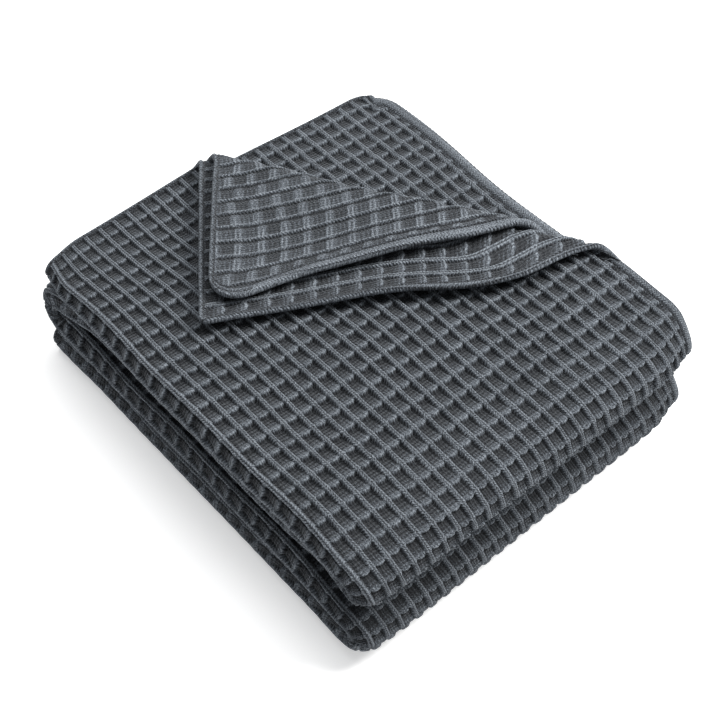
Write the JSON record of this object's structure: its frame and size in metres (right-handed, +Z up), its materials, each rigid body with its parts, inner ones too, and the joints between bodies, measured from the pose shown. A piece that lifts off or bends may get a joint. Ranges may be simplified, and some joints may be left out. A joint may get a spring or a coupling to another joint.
{
  "type": "folded throw blanket",
  "caption": "Rectangular waffle-knit throw folded into a thick flat stack, with plain knitted borders and one top corner turned back.",
  "frame": {"origin": "middle of the face that the stack rests on, under the middle of its length and width", "axes": "+X along the ribs of the knit towards the two rounded front turns, +Y across the ribs towards the selvedges, +Z up"},
  "size_m": [0.37, 0.322, 0.12],
  "materials": {
    "waffle_knit": "matt waffle knit, slate blue-grey marl yarn",
    "plain_border": "matt plain knit, slate blue-grey marl yarn"
  },
  "bodies": {
    "base_quarter": {"base_end_border_1": "plain_border", "base_end_border_2": "plain_border", "base_end_border_3": "plain_border", "base_end_border_4": "plain_border", "base_front_turn": "waffle_knit", "base_inner_side_fold": "waffle_knit", "base_middle_fold": "waffle_knit", "base_outer_side_fold": "waffle_knit", "base_ply_1": "waffle_knit", "base_ply_2": "waffle_knit", "base_ply_3": "waffle_knit", "base_ply_4": "waffle_knit", "base_selvedge_1": "plain_border", "base_selvedge_4": "plain_border"},
    "third_quarter": {"third_back_turn": "waffle_knit", "third_front_turn": "waffle_knit", "third_inner_side_fold": "waffle_knit", "third_middle_fold": "waffle_knit", "third_outer_side_fold": "waffle_knit", "third_ply_1": "waffle_knit", "third_ply_2": "waffle_knit", "third_ply_3": "waffle_knit", "third_ply_4": "waffle_knit", "third_selvedge_1": "plain_border", "third_selvedge_4": "plain_border"},
    "second_quarter": {"second_back_turn": "waffle_knit", "second_front_turn": "waffle_knit", "second_inner_side_fold": "waffle_knit", "second_middle_fold": "waffle_knit", "second_outer_side_fold": "waffle_knit", "second_ply_1": "waffle_knit", "second_ply_2": "waffle_knit", "second_ply_3": "waffle_knit", "second_ply_4": "waffle_knit", "second_selvedge_1": "plain_border", "second_selvedge_4": "plain_border"},
    "top_quarter": {"corner_roll": "waffle_knit", "top_end_border_1": "plain_border", "top_end_border_2": "plain_border", "top_end_border_3": "plain_border", "top_end_border_4": "plain_border", "top_front_turn": "waffle_knit", "top_inner_side_fold": "waffle_knit", "top_middle_fold": "waffle_knit", "top_outer_side_fold": "waffle_knit", "top_ply_1": "waffle_knit", "top_ply_2": "waffle_knit", "top_ply_3": "waffle_knit", "top_ply_4": "waffle_knit", "top_selvedge_1": "plain_border", "top_selvedge_4": "plain_border"},
    "turned_corner": {"corner_end_border_1": "plain_border", "corner_end_border_4": "plain_border", "corner_ply_1": "waffle_knit", "corner_ply_4": "waffle_knit", "corner_selvedge_1": "plain_border", "corner_selvedge_4": "plain_border"}
  },
  "joints": [
    {"name": "lower_fold", "type": "hinge", "parent": "base_quarter", "child": "third_quarter", "pos_m": [0.1852, 0, 0.0266], "axis": [0, 1, 0], "range_deg": [0, 180]},
    {"name": "middle_fold", "type": "hinge", "parent": "third_quarter", "child": "second_quarter", "pos_m": [-0.1852, 0, 0.0534], "axis": [0, -1, 0], "range_deg": [0, 180]},
    {"name": "upper_fold", "type": "hinge", "parent": "second_quarter", "child": "top_quarter", "pos_m": [0.1852, 0, 0.0802], "axis": [0, 1, 0], "range_deg": [0, 180]},
    {"name": "corner_fold", "type": "hinge", "parent": "top_quarter", "child": "turned_corner", "pos_m": [-0.185, -0.017, 0.107], "axis": [-0.8523, -0.5231, 0], "range_deg": [0, 180]}
  ],
  "couplings": [
    {"joint": "middle_fold", "follows": "lower_fold", "ratio": 1}
  ]
}
